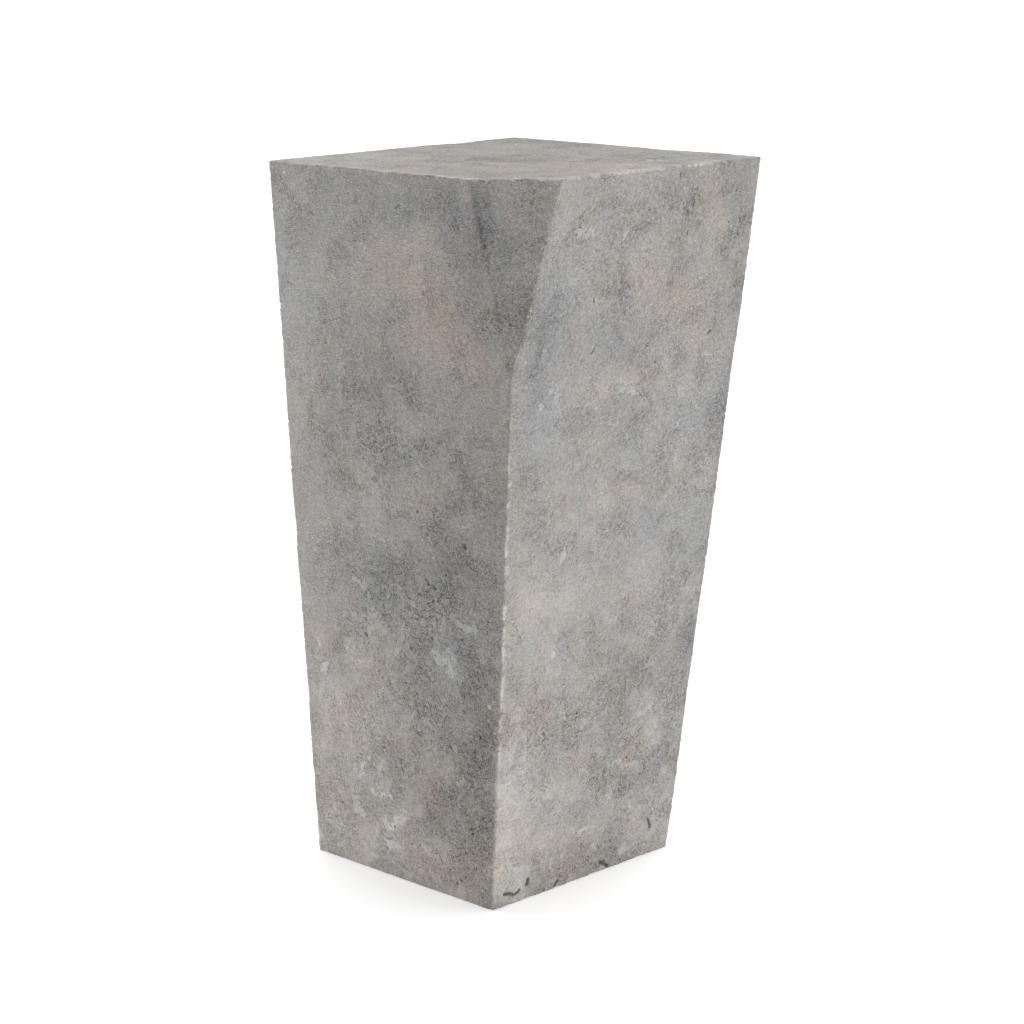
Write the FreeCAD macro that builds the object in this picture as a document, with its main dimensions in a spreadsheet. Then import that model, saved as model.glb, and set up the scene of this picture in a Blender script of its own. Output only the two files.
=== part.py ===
"""Tapered display pedestal with one facet cut into its front right corner.

A hollow box of boards under a thin coat of cement, on four levelling glides. Millimetres, +Z up.
The origin is on the floor, straight below the centre of the square top. Front is -Y, right is +X.
The front and left faces lean out a little and the back and right faces lean out more, so the base
stands towards the front left corner. The base rim and the glides, wound in, share the floor.
"""

import FreeCAD, Part
import Sketcher
import os

SIZES = {
    # outer shape
    "height": 914,
    "base_width": 326.3,
    "top_width": 438.6,
    "top_shift": 25.7,
    "facet_height": 679,
    "facet_front_cut": 79,
    "facet_right_cut": 75,
    "facet_reach": 300,
    # layers of the walls
    "skin": 3,
    "skin_lift": 0.5,
    "board": 15,
    "top_board": 18,
    "bottom_board": 18,
    "bottom_recess": 3,
    # strips of wood inside
    "batten_height": 25,
    "batten_depth": 20,
    "cleat": 25,
    "short_cleat_top": 690,
    "brace_height": 450,
    "brace_board": 12,
    # wood screws
    "screw_length": 34,
    "screw_radius": 2,
    "screw_head_radius": 4,
    "screw_head_height": 2.5,
    "screw_tip_height": 4,
    "screw_clearance": 0.1,
    # places of the screws along the walls, from the middle of the top
    "bottom_spot_low": -105,
    "bottom_spot_high": 55,
    "lower_spot_low": -65,
    "lower_spot_high": 15,
    "ledger_spot_low": -100,
    "ledger_spot_high": 60,
    "upper_spot": 110,
    "upper_spot_by_facet": 50,
    "top_spot": 150,
    "top_spot_by_facet": 10,
    # levelling glides
    "glide_spacing": 210,
    "glide_recess_radius": 20,
    "glide_recess_top": 10,
    "pad_radius": 17,
    "pad_height": 6,
    "pad_edge": 1.5,
    "socket_floor": 1.3,
    "foot_gap": 0.1,
    "running_gap": 0.05,
    "stud_radius": 4,
    "stud_top": 45,
    "stud_tip": 1,
    "collar_height": 3,
    "collar_radius": 7.5,
    "nut_barrel_radius": 5,
    "nut_barrel_length": 10,
    "nut_flange_radius": 11,
    "nut_flange": 1.2,
    "prong_width": 3,
    "prong_thickness": 1,
    "prong_length": 6,
    "prong_inner_radius": 9,
    "prong_count": 4,
}

FLOOR = "0"
FULL_TURN = 360
NOTHING = 1e-9
# turns X to Y, Y to Z and Z to X, because a wedge tapers along its own Y
TURN_UP = FreeCAD.Rotation(FreeCAD.Vector(1, 1, 1), FULL_TURN / 3)

doc = FreeCAD.newDocument("Pedestal")
parts = []


def make_sheet():
    """The spreadsheet of driving dimensions, one alias for each."""
    sheet = doc.addObject("Spreadsheet::Sheet", "Sizes")
    for row, (alias, value) in enumerate(SIZES.items(), start=1):
        sheet.set(f"A{row}", alias)
        sheet.set(f"B{row}", str(value))
        sheet.setAlias(f"B{row}", alias)
    doc.recompute()
    return sheet


sizes = make_sheet()


def bind(item, **expressions):
    """Ties each named property of an object to an expression over the sheet."""
    for name, expression in expressions.items():
        item.setExpression(name, expression)


def keep(item, label):
    """Marks an object as a finished sub-part, whose label names its file."""
    item.Label = label
    parts.append(item)
    return item


# Leaning planes. A bound is a function from a height to the place of a plane there, and an inset is
# measured square to the face, from the outside of the coat inwards.

LEAN_NEAR = "((Sizes.top_width / 2 - Sizes.base_width / 2 - Sizes.top_shift) / Sizes.height)"
LEAN_FAR = "((Sizes.top_width / 2 - Sizes.base_width / 2 + Sizes.top_shift) / Sizes.height)"


def near(inset):
    """The front face in Y, or the left face in X."""
    edge = "(-Sizes.base_width / 2 - Sizes.top_shift)"
    slope = f"sqrt(1 + {LEAN_NEAR}^2)"
    return lambda z: f"{edge} - {LEAN_NEAR} * ({z}) + ({inset}) * {slope}"


def far(inset):
    """The back face in Y, or the right face in X."""
    edge = "(Sizes.base_width / 2 - Sizes.top_shift)"
    slope = f"sqrt(1 + {LEAN_FAR}^2)"
    return lambda z: f"{edge} + {LEAN_FAR} * ({z}) - ({inset}) * {slope}"


def block(name, x_low, x_high, y_low, y_high, bottom, top):
    """A solid between four leaning planes and two level ones."""
    wedge = doc.addObject("Part::Wedge", name)
    wedge.Placement = FreeCAD.Placement(FreeCAD.Vector(0, 0, 0), TURN_UP)
    bind(wedge, Ymin=bottom, Ymax=top)
    bind(wedge, Xmin=y_low(bottom), Xmax=y_high(bottom), Zmin=x_low(bottom), Zmax=x_high(bottom))
    bind(wedge, X2min=y_low(top), X2max=y_high(top), Z2min=x_low(top), Z2max=x_high(top))
    return wedge


def cut(base, *tools):
    """The base with every tool taken away."""
    for tool in tools:
        result = doc.addObject("Part::Cut", base.Name + "_cut")
        result.Base = base
        result.Tool = tool
        base = result
    return base


# The facet's plane runs through a point on the front edge of the top, a point on its right edge and
# the apex on the corner below. Its own axes run along the top, up the slope and square outwards.

TOP_EDGE = "sqrt(Sizes.facet_front_cut^2 + Sizes.facet_right_cut^2)"
ALONG_X = f"(Sizes.facet_front_cut / {TOP_EDGE})"
ALONG_Y = f"(Sizes.facet_right_cut / {TOP_EDGE})"
START_X = "(Sizes.top_width / 2 - Sizes.facet_front_cut)"
START_Y = "(-Sizes.top_width / 2)"
APEX_X = far("0")("Sizes.facet_height")
APEX_Y = near("0")("Sizes.facet_height")
DROP = "(Sizes.height - Sizes.facet_height)"
STEP_OUT = f"(({APEX_X} - {START_X}) * {ALONG_Y} - ({APEX_Y} - {START_Y}) * {ALONG_X})"
SLOPE = f"sqrt({DROP}^2 + {STEP_OUT}^2)"
STEEP = f"({DROP} / {SLOPE})"
SHALLOW = f"({STEP_OUT} / {SLOPE})"
OUTWARDS = (f"({STEEP} * {ALONG_Y})", f"(-{STEEP} * {ALONG_X})", SHALLOW)
UP_SLOPE = (f"(-{SHALLOW} * {ALONG_Y})", f"({SHALLOW} * {ALONG_X})", STEEP)
ALONG = (ALONG_X, ALONG_Y, "0")
START = (START_X, START_Y, "Sizes.height")


def facet_slab(name, inset, thickness):
    """A wide slab that lies along the facet and grows outwards from an inset behind it."""
    slab = doc.addObject("Part::Box", name)
    bind(slab, Length="2 * Sizes.facet_reach", Width="2 * Sizes.facet_reach", Height=thickness)
    corner = [
        f"{start} - ({inset}) * {out} - Sizes.facet_reach * ({along} + {up})"
        for start, out, along, up in zip(START, OUTWARDS, ALONG, UP_SLOPE)
    ]
    yaw = "atan2(Sizes.facet_right_cut; Sizes.facet_front_cut)"
    roll = f"atan2({DROP}; {STEP_OUT})"
    place = f"create(<<vector>>; {corner[0]}; {corner[1]}; {corner[2]})"
    turn = f"create(<<rotation>>; {yaw}; 0; {roll})"
    bind(slab, Placement=f"create(<<placement>>; {place}; {turn})")
    return slab


def beyond_facet(name, inset):
    """Everything outside the facet's plane moved inwards by an inset."""
    return facet_slab(name, inset, "Sizes.facet_reach")


# Depths of the layers and heights of the boards.

COAT = "Sizes.skin"
INSIDE = "(Sizes.skin + Sizes.board)"
BATTEN_FACE = f"({INSIDE} + Sizes.batten_depth)"
CLEAT_FACE = f"({INSIDE} + Sizes.cleat)"
BOTTOM_LOW = "Sizes.bottom_recess"
BOTTOM_HIGH = f"({BOTTOM_LOW} + Sizes.bottom_board)"
LOWER_BATTEN_TOP = f"({BOTTOM_HIGH} + Sizes.batten_height)"
TOP_HIGH = "(Sizes.height - Sizes.skin)"
TOP_LOW = f"({TOP_HIGH} - Sizes.top_board)"
UPPER_BATTEN_LOW = f"({TOP_LOW} - Sizes.batten_height)"
BRACE_LOW = "Sizes.brace_height"
BRACE_HIGH = f"({BRACE_LOW} + Sizes.brace_board)"
LEDGER_LOW = f"({BRACE_LOW} - Sizes.batten_depth)"

past_boards = beyond_facet("past_boards", COAT)
past_facet_board = beyond_facet("past_facet_board", INSIDE)


# Wood screws. Each group is one sub-part of separate screws, and its holes are the same screws a
# little larger. A screw is placed at its head and points the way it is driven.

UP = FreeCAD.Vector(0, 0, 1)
WALLS = {
    "front": (FreeCAD.Vector(0, -1, 0), near),
    "right": (FreeCAD.Vector(1, 0, 0), far),
    "back": (FreeCAD.Vector(0, 1, 0), far),
    "left": (FreeCAD.Vector(-1, 0, 0), near),
}


def screw(name, place, direction, extra):
    """One countersunk screw, larger all round by extra when it is a hole."""
    head = doc.addObject("Part::Cone", name + "_head")
    bind(
        head,
        Radius1=f"Sizes.screw_head_radius + {extra}",
        Radius2=f"Sizes.screw_radius + {extra}",
        Height="Sizes.screw_head_height",
    )
    shank = doc.addObject("Part::Cylinder", name + "_shank")
    bind(
        shank,
        Radius=f"Sizes.screw_radius + {extra}",
        Height="Sizes.screw_length - Sizes.screw_tip_height",
    )
    tip = doc.addObject("Part::Cone", name + "_tip")
    bind(
        tip,
        Radius1=f"Sizes.screw_radius + {extra}",
        Height=f"Sizes.screw_tip_height + {extra}",
    )
    tip.Radius2 = 0
    tip.setExpression("Placement.Base.z", "Sizes.screw_length - Sizes.screw_tip_height")
    whole = doc.addObject("Part::MultiFuse", name)
    whole.Shapes = [head, shank, tip]
    whole.Placement.Rotation = FreeCAD.Rotation(UP, direction)
    for letter, expression in zip("xyz", place):
        whole.setExpression(f"Placement.Base.{letter}", expression)
    return whole


def screw_group(label, places):
    """A group of screws as one sub-part, and the compound of their holes."""
    made = {}
    for kind, extra in (("screw", "0"), ("hole", "Sizes.screw_clearance")):
        group = doc.addObject("Part::Compound", f"{label}_{kind}")
        group.Links = [
            screw(f"{label}_{kind}_{count}", place, direction, extra)
            for count, (place, direction) in enumerate(places, start=1)
        ]
        made[kind] = group
    keep(made["screw"], label)
    return made["hole"]


def across_wall(wall, depth, height, along):
    """The plan position at a depth behind a wall's face, at a height, and a place along the wall."""
    outwards, plane = WALLS[wall]
    across = plane(depth)(height)
    return (across, along) if outwards.x else (along, across)


def wall_places(height, spots):
    """Screws driven level and outwards through a strip of wood into its wall."""
    return [
        ((*across_wall(wall, BATTEN_FACE, height, along), height), WALLS[wall][0])
        for wall, along in spots
    ]


def upright_places(bottom, height, spots):
    """Screws driven straight up into the middle of the strip along each wall."""
    middle = f"({INSIDE} + Sizes.batten_depth / 2)"
    return [
        ((*across_wall(wall, middle, height, along), bottom), UP) for wall, along in spots
    ]


def even_spots(name, walls):
    """A low and a high spot along each wall."""
    ends = (f"Sizes.{name}_spot_low", f"Sizes.{name}_spot_high")
    return [(wall, end) for wall in walls for end in ends]


def faceted_spots(name):
    """Two spots along each wall. The strips beside the facet are short, so one spot moves in."""
    wide, short = f"Sizes.{name}_spot", f"Sizes.{name}_spot_by_facet"
    ends = {
        "front": (f"-{wide}", short),
        "right": (f"-{short}", wide),
        "back": (f"-{wide}", wide),
        "left": (f"-{wide}", wide),
    }
    return [(wall, end) for wall in WALLS for end in ends[wall]]


LOWER_MIDDLE = f"({BOTTOM_HIGH} + Sizes.batten_height / 2)"
UPPER_MIDDLE = f"({UPPER_BATTEN_LOW} + Sizes.batten_height / 2)"
LEDGER_MIDDLE = f"({LEDGER_LOW} + Sizes.batten_depth / 2)"

bottom_holes = screw_group(
    "bottom_panel_screws", upright_places(BOTTOM_LOW, LOWER_MIDDLE, even_spots("bottom", WALLS))
)
lower_holes = screw_group(
    "lower_batten_screws", wall_places(LOWER_MIDDLE, even_spots("lower", WALLS))
)
upper_holes = screw_group(
    "upper_batten_screws", wall_places(UPPER_MIDDLE, faceted_spots("upper"))
)
top_holes = screw_group(
    "top_panel_screws", upright_places(UPPER_BATTEN_LOW, UPPER_MIDDLE, faceted_spots("top"))
)
ledger_holes = screw_group(
    "ledger_screws", wall_places(LEDGER_MIDDLE, even_spots("ledger", ("front", "back")))
)


# The coat of cement: four sides, the facet and the top, open below.

def make_skin():
    outside = block(
        "skin_outside", near("0"), far("0"), near("0"), far("0"), "Sizes.skin_lift", "Sizes.height"
    )
    inside = block(
        "skin_inside", near(COAT), far(COAT), near(COAT), far(COAT), "-Sizes.skin", TOP_HIGH
    )
    faceted = cut(outside, beyond_facet("past_skin", "0"))
    hollow = cut(inside, past_boards)
    keep(cut(faceted, hollow), "cement_skin")


# The box of boards. The front and back boards run the full width and the side boards fit between.

def make_walls():
    full = (near(COAT), far(COAT))
    between = (near(INSIDE), far(INSIDE))
    thin_near = (near(COAT), near(INSIDE))
    thin_far = (far(INSIDE), far(COAT))
    side_holes = (lower_holes, upper_holes)
    front = block("front_board", *full, *thin_near, FLOOR, TOP_LOW)
    keep(cut(front, past_boards, *side_holes, ledger_holes), "front_panel")
    back = block("back_board", *full, *thin_far, FLOOR, TOP_LOW)
    keep(cut(back, *side_holes, ledger_holes), "back_panel")
    right = block("right_board", *thin_far, *between, FLOOR, TOP_LOW)
    keep(cut(right, past_boards, *side_holes), "right_panel")
    left = block("left_board", *thin_near, *between, FLOOR, TOP_LOW)
    keep(cut(left, *side_holes), "left_panel")
    top = block("top_board", *full, *full, TOP_LOW, TOP_HIGH)
    keep(cut(top, past_boards, top_holes), "top_panel")


def make_facet_panel():
    """The triangular board that closes the opening where the facet cuts into the hollow."""
    corner = block(
        "facet_corner",
        far("Sizes.facet_reach / 2"),
        far(INSIDE),
        near(INSIDE),
        near("Sizes.facet_reach / 2"),
        "Sizes.short_cleat_top",
        TOP_LOW,
    )
    slab = facet_slab("facet_board", INSIDE, "Sizes.board")
    panel = doc.addObject("Part::Common", "facet_board_in_corner")
    panel.Base = corner
    panel.Tool = slab
    keep(panel, "facet_panel")


# Battens round the bottom and the top, ledgers under the brace, and cleats in the corners.

def make_battens():
    """Four strips above the bottom board and four below the top board."""
    rows = {
        "lower": (BOTTOM_HIGH, LOWER_BATTEN_TOP, (lower_holes, bottom_holes), ()),
        "upper": (UPPER_BATTEN_LOW, TOP_LOW, (upper_holes, top_holes), (past_facet_board,)),
    }
    long_run = (near(INSIDE), far(INSIDE))
    short_run = (near(BATTEN_FACE), far(BATTEN_FACE))
    thin_near = (near(INSIDE), near(BATTEN_FACE))
    thin_far = (far(BATTEN_FACE), far(INSIDE))
    for row, (low, high, holes, facet) in rows.items():
        strips = {
            "front": (block(f"{row}_front", *long_run, *thin_near, low, high), facet),
            "back": (block(f"{row}_back", *long_run, *thin_far, low, high), ()),
            "right": (block(f"{row}_right", *thin_far, *short_run, low, high), facet),
            "left": (block(f"{row}_left", *thin_near, *short_run, low, high), ()),
        }
        for wall, (strip, facet_cut) in strips.items():
            keep(cut(strip, *facet_cut, *holes), f"{row}_batten_{wall}")


def make_cleats():
    """A glued strip up each corner of the box. The front right one stops below the facet."""
    near_edge = (near(INSIDE), near(CLEAT_FACE))
    far_edge = (far(CLEAT_FACE), far(INSIDE))
    corners = {
        "front_left": (near_edge, near_edge, UPPER_BATTEN_LOW),
        "front_right": (far_edge, near_edge, "Sizes.short_cleat_top"),
        "back_right": (far_edge, far_edge, UPPER_BATTEN_LOW),
        "back_left": (near_edge, far_edge, UPPER_BATTEN_LOW),
    }
    cleats = []
    for corner, (across, deep, top) in corners.items():
        cleat = block(f"cleat_{corner}", *across, *deep, LOWER_BATTEN_TOP, top)
        cleats.append(keep(cleat, f"corner_cleat_{corner}"))
    return cleats


def make_brace(cleats):
    """A level board half way up, notched round the cleats, on two ledgers."""
    between = (near(INSIDE), far(INSIDE))
    inner = (near(CLEAT_FACE), far(CLEAT_FACE))
    board = block("brace_board", *between, *between, BRACE_LOW, BRACE_HIGH)
    keep(cut(board, *cleats), "mid_brace")
    ledgers = {
        "front": (near(INSIDE), near(BATTEN_FACE)),
        "back": (far(BATTEN_FACE), far(INSIDE)),
    }
    for wall, deep in ledgers.items():
        ledger = block(f"ledger_{wall}", *inner, *deep, LEDGER_LOW, BRACE_LOW)
        keep(cut(ledger, ledger_holes), f"brace_ledger_{wall}")


# Levelling glides. Each one is a tee nut in the bottom board, a stud and a nylon pad.

BASE_CENTRE = "-Sizes.top_shift"
GLIDES = {
    "front_left": (-1, -1),
    "front_right": (1, -1),
    "back_right": (1, 1),
    "back_left": (-1, 1),
}
COLLAR_HIGH = "(Sizes.pad_height + Sizes.foot_gap + Sizes.collar_height)"


def place_glide(item, corner, height):
    """Moves a glide's piece to its corner of the base."""
    for letter, sign in zip("xy", GLIDES[corner]):
        centre = f"{BASE_CENTRE} + {sign} * Sizes.glide_spacing / 2"
        item.setExpression(f"Placement.Base.{letter}", centre)
    item.setExpression("Placement.Base.z", height)


def origin_plane(body, role):
    """One of a body's own origin planes."""
    return next(item for item in body.Origin.OriginFeatures if item.Role == role)


def outline(body, name, role, points):
    """A closed sketch with straight sides, each corner held by expressions over the sheet."""
    sketch = body.newObject("Sketcher::SketchObject", name)
    sketch.AttachmentSupport = (origin_plane(body, role), [""])
    sketch.MapMode = "FlatFace"
    corners = [
        FreeCAD.Vector(*(float(sizes.evalExpression(value)) for value in point), 0)
        for point in points
    ]
    count = len(corners)
    for index in range(count):
        following = corners[(index + 1) % count]
        sketch.addGeometry(Part.LineSegment(corners[index], following))
    for index in range(count):
        following = (index + 1) % count
        sketch.addConstraint(Sketcher.Constraint("Coincident", index, 2, following, 1))
    for index, corner in enumerate(corners):
        hold_point(sketch, index, corner, points[index])
    return sketch


def hold_point(sketch, index, corner, expressions):
    """Fixes the start of one line across and up, on an axis where the distance is nothing."""
    axes = (("DistanceX", corner.x, -2), ("DistanceY", corner.y, -1))
    for (kind, value, axis), expression in zip(axes, expressions):
        if abs(value) < NOTHING:
            sketch.addConstraint(Sketcher.Constraint("PointOnObject", index, 1, axis))
            continue
        number = sketch.addConstraint(Sketcher.Constraint(kind, -1, 1, index, 1, value))
        sketch.setExpression(f"Constraints[{number}]", expression)


def revolve(body, name, points):
    """A full turn of an outline about the body's upright axis."""
    sketch = outline(body, name + "_outline", "XZ_Plane", points)
    turned = body.newObject("PartDesign::Revolution", name)
    turned.Profile = sketch
    turned.ReferenceAxis = (sketch, ["V_Axis"])
    turned.Angle = FULL_TURN
    return turned


def make_tee_nut(corner):
    """A flanged nut let into the bottom board from above, with prongs that bite into it."""
    body = doc.addObject("PartDesign::Body", f"nut_{corner}")
    bore = "Sizes.stud_radius + Sizes.running_gap"
    revolve(
        body,
        f"nut_{corner}_shell",
        [
            (bore, "-Sizes.nut_barrel_length"),
            ("Sizes.nut_barrel_radius", "-Sizes.nut_barrel_length"),
            ("Sizes.nut_barrel_radius", "0"),
            ("Sizes.nut_flange_radius", "0"),
            ("Sizes.nut_flange_radius", "Sizes.nut_flange"),
            (bore, "Sizes.nut_flange"),
        ],
    )
    inner = "Sizes.prong_inner_radius"
    outer = "Sizes.prong_inner_radius + Sizes.prong_thickness"
    half = "Sizes.prong_width / 2"
    rectangle = [(inner, f"-{half}"), (outer, f"-{half}"), (outer, half), (inner, half)]
    sketch = outline(body, f"nut_{corner}_prong_outline", "XY_Plane", rectangle)
    prong = body.newObject("PartDesign::Pad", f"nut_{corner}_prong")
    prong.Profile = sketch
    prong.Reversed = True
    bind(prong, Length="Sizes.prong_length")
    ring = body.newObject("PartDesign::PolarPattern", f"nut_{corner}_prongs")
    ring.Originals = [prong]
    ring.Axis = (sketch, ["N_Axis"])
    ring.Angle = FULL_TURN
    bind(ring, Occurrences="Sizes.prong_count")
    body.Tip = ring
    place_glide(body, corner, BOTTOM_HIGH)
    keep(body, f"tee_nut_{corner}")


def make_pad(corner):
    """A nylon disc with a blind socket for the stud's foot."""
    body = doc.addObject("PartDesign::Body", f"pad_{corner}")
    socket = "Sizes.stud_radius + Sizes.running_gap"
    small = "Sizes.pad_radius - Sizes.pad_edge"
    revolve(
        body,
        f"pad_{corner}_disc",
        [
            ("0", "0"),
            (small, "0"),
            ("Sizes.pad_radius", "Sizes.pad_edge"),
            ("Sizes.pad_radius", "Sizes.pad_height - Sizes.pad_edge"),
            (small, "Sizes.pad_height"),
            (socket, "Sizes.pad_height"),
            (socket, "Sizes.socket_floor"),
            ("0", "Sizes.socket_floor"),
        ],
    )
    place_glide(body, corner, FLOOR)
    keep(body, f"glide_pad_{corner}")


def make_stud(corner):
    """A threaded stud with a hexagon collar to turn it by and a plain foot in the pad."""
    foot = doc.addObject("Part::Cylinder", f"stud_{corner}_foot")
    foot_low = "(Sizes.socket_floor + Sizes.foot_gap)"
    bind(foot, Radius="Sizes.stud_radius", Height=f"{COLLAR_HIGH} - {foot_low}")
    foot.setExpression("Placement.Base.z", foot_low)
    collar = doc.addObject("Part::Prism", f"stud_{corner}_collar")
    collar.Polygon = 6
    bind(collar, Circumradius="Sizes.collar_radius", Height="Sizes.collar_height")
    collar.setExpression("Placement.Base.z", "Sizes.pad_height + Sizes.foot_gap")
    shaft = doc.addObject("Part::Cylinder", f"stud_{corner}_shaft")
    shaft_high = "(Sizes.stud_top - Sizes.stud_tip)"
    bind(shaft, Radius="Sizes.stud_radius", Height=f"{shaft_high} - {COLLAR_HIGH}")
    shaft.setExpression("Placement.Base.z", COLLAR_HIGH)
    tip = doc.addObject("Part::Cone", f"stud_{corner}_tip")
    bind(
        tip,
        Radius1="Sizes.stud_radius",
        Radius2="Sizes.stud_radius - Sizes.stud_tip",
        Height="Sizes.stud_tip",
    )
    tip.setExpression("Placement.Base.z", shaft_high)
    stud = doc.addObject("Part::MultiFuse", f"stud_{corner}")
    stud.Shapes = [foot, collar, shaft, tip]
    place_glide(stud, corner, FLOOR)
    keep(stud, f"glide_stud_{corner}")


def glide_opening(corner):
    """The recess for a pad in the underside of the bottom board, and the hole for its nut."""
    recess = doc.addObject("Part::Cylinder", f"recess_{corner}")
    bind(recess, Radius="Sizes.glide_recess_radius", Height="Sizes.glide_recess_top")
    hole = doc.addObject("Part::Cylinder", f"nut_hole_{corner}")
    bind(
        hole,
        Radius="Sizes.nut_barrel_radius + Sizes.screw_clearance",
        Height=BOTTOM_HIGH,
    )
    opening = doc.addObject("Part::Fuse", f"opening_{corner}")
    opening.Base = recess
    opening.Tool = hole
    place_glide(opening, corner, FLOOR)
    return opening


def make_bottom_panel():
    """The bottom board inside the walls, a little above the rim."""
    between = (near(INSIDE), far(INSIDE))
    board = block("bottom_board", *between, *between, BOTTOM_LOW, BOTTOM_HIGH)
    openings = [glide_opening(corner) for corner in GLIDES]
    keep(cut(board, bottom_holes, *openings), "bottom_panel")


def write_parts():
    """Checks every object and every sub-part's shape, then writes one file for each sub-part."""
    doc.recompute()
    for item in doc.Objects:
        if "Invalid" in item.State or "Error" in item.State:
            raise RuntimeError(f"{item.Name} is {item.State}")
    for part in parts:
        if part.Shape.isNull() or not part.Shape.isValid() or not part.Shape.Solids:
            raise RuntimeError(f"{part.Label} has no valid shape")
    os.makedirs("parts", exist_ok=True)
    for part in parts:
        part.Shape.exportStep(f"parts/{part.Label}.step")
        box = part.Shape.BoundBox
        print(
            f"{part.Label}: {len(part.Shape.Solids)} solid(s), {part.Shape.Volume:.0f} mm3,"
            f" z {box.ZMin:.1f} to {box.ZMax:.1f}"
        )


make_skin()
make_walls()
make_facet_panel()
make_bottom_panel()
make_battens()
make_brace(make_cleats())
for glide in GLIDES:
    make_tee_nut(glide)
    make_stud(glide)
    make_pad(glide)
write_parts()
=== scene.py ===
"""Looks of the tapered display pedestal: the trowelled cement coat, and a material for every part.

Metres, +Z up, in the CAD frame: front is -Y, right is +X, and the origin is on the floor. The coat is
rebuilt as one closed shell with rounded arrises, trowel waves, pits, cracks and a ragged lower rim.
"""

import math
import bpy
import numpy as np
from mathutils import Matrix, Vector, noise
from mathutils.geometry import delaunay_2d_cdt


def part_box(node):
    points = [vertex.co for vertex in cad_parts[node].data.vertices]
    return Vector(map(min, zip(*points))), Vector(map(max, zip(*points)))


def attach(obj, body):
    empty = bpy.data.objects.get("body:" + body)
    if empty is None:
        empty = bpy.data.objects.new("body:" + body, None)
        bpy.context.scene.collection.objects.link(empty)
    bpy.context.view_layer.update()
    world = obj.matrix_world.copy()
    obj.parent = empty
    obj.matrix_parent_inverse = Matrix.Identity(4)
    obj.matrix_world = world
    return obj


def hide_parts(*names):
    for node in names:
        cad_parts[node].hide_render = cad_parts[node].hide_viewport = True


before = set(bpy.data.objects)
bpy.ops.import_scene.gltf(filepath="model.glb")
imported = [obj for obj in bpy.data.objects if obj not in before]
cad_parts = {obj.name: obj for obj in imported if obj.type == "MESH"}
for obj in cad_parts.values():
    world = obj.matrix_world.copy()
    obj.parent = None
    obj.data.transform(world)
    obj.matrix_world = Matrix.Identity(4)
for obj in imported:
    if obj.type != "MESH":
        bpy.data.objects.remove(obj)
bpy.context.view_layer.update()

MM = 0.001
TINY = 1e-12

# ---- noise and distance


def wander(points, size, octaves=3, seed=0):
    """Smooth noise, from about -1 to 1, whose lumps are about size across."""
    shift = Vector((17.3, -9.1, 5.7)) * seed
    places = (Vector(p) / size + shift for p in points)
    return np.array([noise.fractal(p, 1.0, 2.0, octaves) for p in places])


def drift(points, size, reach, seed):
    """The points, each moved by up to about reach, so that round marks get uneven outlines."""
    moves = [wander(points, size, 3, seed + k) for k in range(3)]
    return points + reach * np.stack(moves, axis=1)


def gap_to(points, start, end):
    """How far each point is from the line from start to end, and the share of the way along it."""
    run = end - start
    share = np.clip((points - start) @ run / max(run @ run, TINY), 0, 1)
    return np.linalg.norm(points - start - share[:, None] * run, axis=1), share


def rise(value, low, high):
    """0 below low, 1 above high, smooth between. It also falls, if low is above high."""
    t = np.clip((value - low) / (high - low), 0, 1)
    return t * t * (3 - 2 * t)


# ---- the shape of the coat


def read_corners():
    """The outer corners of the coat, from its CAD mesh."""
    points = np.array([v.co[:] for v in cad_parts["cement_skin"].data.vertices])
    low, high = points[:, 2].min(), points[:, 2].max()
    foot = points[points[:, 2] < low + 0.1 * MM]
    rim = points[points[:, 2] > high - 0.1 * MM]
    between = points[(points[:, 2] > low + 1 * MM) & (points[:, 2] < high - 10 * MM)]
    (left, front, _), (right, back, _) = foot.min(0), foot.max(0)
    (top_left, top_front, _), (top_right, top_back, _) = rim.min(0), rim.max(0)
    on_front = rim[rim[:, 1] < top_front + 0.1 * MM]
    on_right = rim[rim[:, 0] > top_right - 0.1 * MM]
    return {
        "foot_front_left": (left, front, low),
        "foot_front_right": (right, front, low),
        "foot_back_right": (right, back, low),
        "foot_back_left": (left, back, low),
        "top_front_left": (top_left, top_front, high),
        "top_back_right": (top_right, top_back, high),
        "top_back_left": (top_left, top_back, high),
        "facet_front": tuple(on_front[on_front[:, 0].argmax()]),
        "facet_right": tuple(on_right[on_right[:, 1].argmin()]),
        "facet_foot": tuple(between[(between[:, 0] - between[:, 1]).argmax()]),
    }


CORNERS = {name: np.array(place) for name, place in read_corners().items()}
FOOT = CORNERS["foot_front_left"][2]
TOP = CORNERS["top_front_left"][2]
COAT = 3 * MM

# each face's outline, counter-clockwise from outside
FACES = {
    "front": ("foot_front_left", "foot_front_right", "facet_foot", "facet_front", "top_front_left"),
    "right": ("foot_front_right", "foot_back_right", "top_back_right", "facet_right", "facet_foot"),
    "back": ("foot_back_right", "foot_back_left", "top_back_left", "top_back_right"),
    "left": ("foot_back_left", "foot_front_left", "top_front_left", "top_back_left"),
    "top": ("top_front_left", "facet_front", "facet_right", "top_back_right", "top_back_left"),
    "facet": ("facet_foot", "facet_right", "facet_front"),
}
SIDES = ("front", "right", "back", "left")
AWAY = ("back", "left")

# the two coordinates that name a place on these faces: on the others they are x and z
PLACE_AXES = {"right": (1, 2), "left": (1, 2), "top": (0, 1)}


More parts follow.
